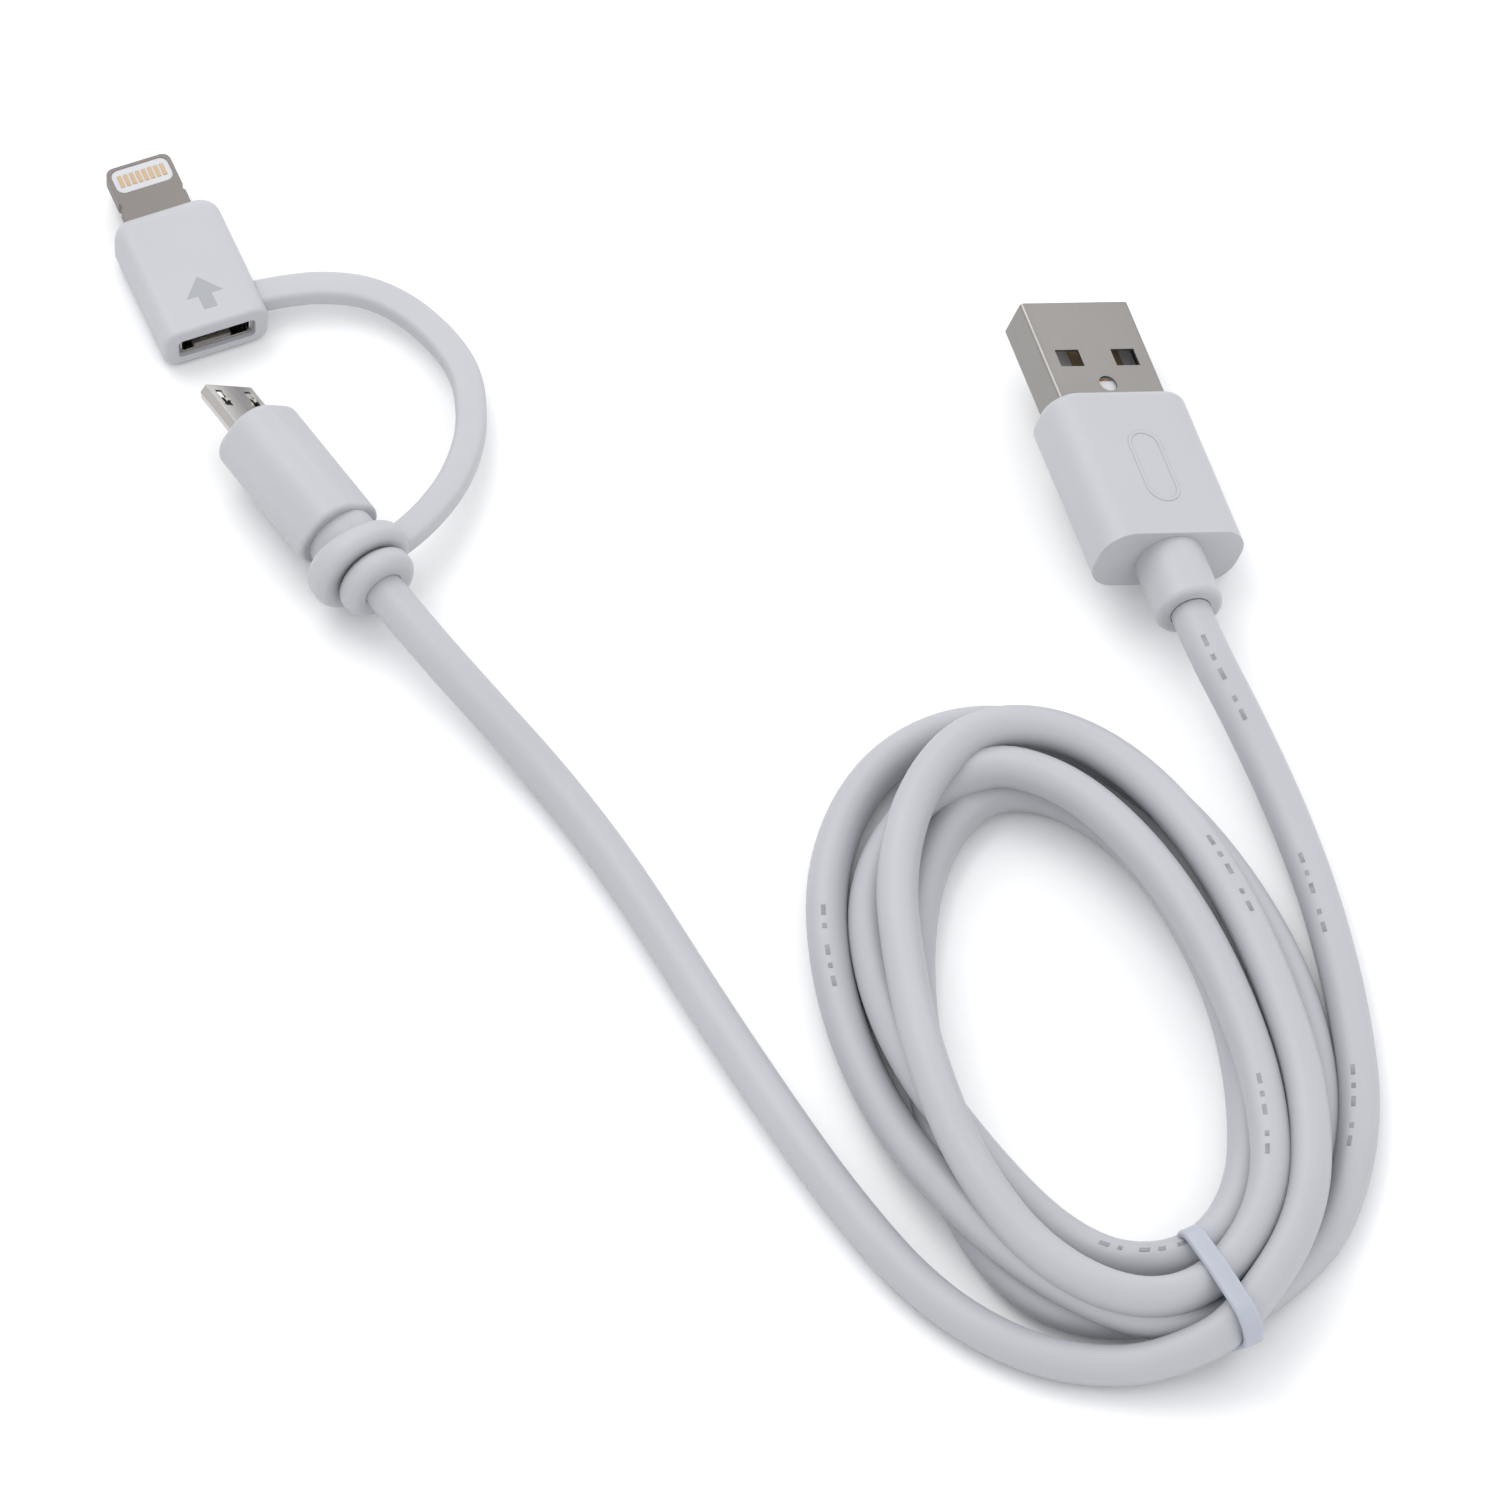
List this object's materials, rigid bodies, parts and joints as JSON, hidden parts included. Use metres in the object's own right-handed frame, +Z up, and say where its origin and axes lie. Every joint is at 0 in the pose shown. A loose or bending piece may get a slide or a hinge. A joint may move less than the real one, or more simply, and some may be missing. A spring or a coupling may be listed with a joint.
{
  "type": "charging cable",
  "caption": "White charge and sync cable in a tied coil, USB-A plug to micro-USB plug, with an 8-pin plug adapter on a soft strap.",
  "frame": {"origin": "bottom centre of the box round the two plugs, the adapter and its strap, on the surface that the cable lies on", "axes": "+Z up; +X from the micro plug's side to the USB-A plug's side; +Y the way the plugs roughly point"},
  "size_m": [0.1243, 0.1471, 0.0114],
  "materials": {
    "white_plastic": "satin moulded plastic",
    "cord_jacket": "smooth soft jacket",
    "soft_strap": "smooth soft strap",
    "tie_band": "slightly translucent soft band",
    "steel_shell": "fine-grained tin plate",
    "steel_tongue": "satin plated steel",
    "nickel_shell": "bright nickel plate",
    "gold_contact": "polished gold plate",
    "white_insulator": "smooth glossy plastic",
    "inner_mould": "dull plastic",
    "wire_insulation": "smooth wire insulation",
    "circuit_board": "solder mask",
    "chip": "moulded black package"
  },
  "bodies": {
    "cable": {"usb_a_shell": "steel_shell", "usb_a_insulator": "white_insulator", "usb_a_inner_mold": "inner_mould", "usb_a_overmold": "white_plastic", "usb_a_strain_relief": "white_plastic", "usb_a_contact_1": "gold_contact", "usb_a_contact_2": "gold_contact", "usb_a_contact_3": "gold_contact", "usb_a_contact_4": "gold_contact", "usb_a_wire_1": "wire_insulation", "usb_a_wire_2": "wire_insulation", "usb_a_wire_3": "wire_insulation", "usb_a_wire_4": "wire_insulation", "micro_shell": "nickel_shell", "micro_insulator": "white_insulator", "micro_inner_mold": "inner_mould", "micro_overmold": "white_plastic", "micro_neck": "white_plastic", "micro_contact_1": "gold_contact", "micro_contact_2": "gold_contact", "micro_contact_3": "gold_contact", "micro_contact_4": "gold_contact", "micro_contact_5": "gold_contact", "micro_wire_1": "wire_insulation", "micro_wire_2": "wire_insulation", "micro_wire_3": "wire_insulation", "micro_wire_4": "wire_insulation", "cord_lead_usb": "cord_jacket", "cord_lead_micro": "cord_jacket", "cord_coil": "cord_jacket", "coil_tie": "tie_band"},
    "latch_left": {"micro_latch_left": "nickel_shell"},
    "latch_right": {"micro_latch_right": "nickel_shell"},
    "tether": {"tether_collar": "soft_strap"},
    "adapter": {"adapter_body": "white_plastic", "adapter_inner_mold": "inner_mould", "adapter_tongue_frame": "steel_tongue", "adapter_contact_insert": "white_insulator", "adapter_back_pads": "gold_contact", "adapter_board": "circuit_board", "adapter_chip": "chip", "adapter_socket_shell": "nickel_shell", "adapter_socket_tongue": "white_insulator", "adapter_pad_1": "gold_contact", "adapter_pad_2": "gold_contact", "adapter_pad_3": "gold_contact", "adapter_pad_4": "gold_contact", "adapter_pad_5": "gold_contact", "adapter_pad_6": "gold_contact", "adapter_pad_7": "gold_contact", "adapter_pad_8": "gold_contact", "adapter_socket_contact_1": "gold_contact", "adapter_socket_contact_2": "gold_contact", "adapter_socket_contact_3": "gold_contact", "adapter_socket_contact_4": "gold_contact", "adapter_socket_contact_5": "gold_contact", "tether_strap": "soft_strap"}
  },
  "joints": [
    {"name": "collar_swivel", "type": "hinge", "parent": "cable", "child": "tether", "pos_m": [-0.03103, -0.02132, 0.00515], "axis": [0.5505, -0.8348, 0], "continuous": true},
    {"name": "strap_bend", "type": "hinge", "parent": "tether", "child": "adapter", "pos_m": [-0.0209, -0.0006, 0.0025], "axis": [0, 0, 1], "range_deg": [-40, 8], "stiffness_Nm_per_rad": 0.003},
    {"name": "latch_left_press", "type": "hinge", "parent": "cable", "child": "latch_left", "pos_m": [-0.04325, -0.00548, 0.00672], "axis": [-0.6395, -0.4217, 0.6428], "range_deg": [0, 6], "stiffness_Nm_per_rad": 0.05},
    {"name": "latch_right_press", "type": "hinge", "parent": "cable", "child": "latch_right", "pos_m": [-0.0405, -0.00367, 0.00396], "axis": [-0.6395, -0.4217, 0.6428], "range_deg": [0, 6], "stiffness_Nm_per_rad": 0.05}
  ]
}
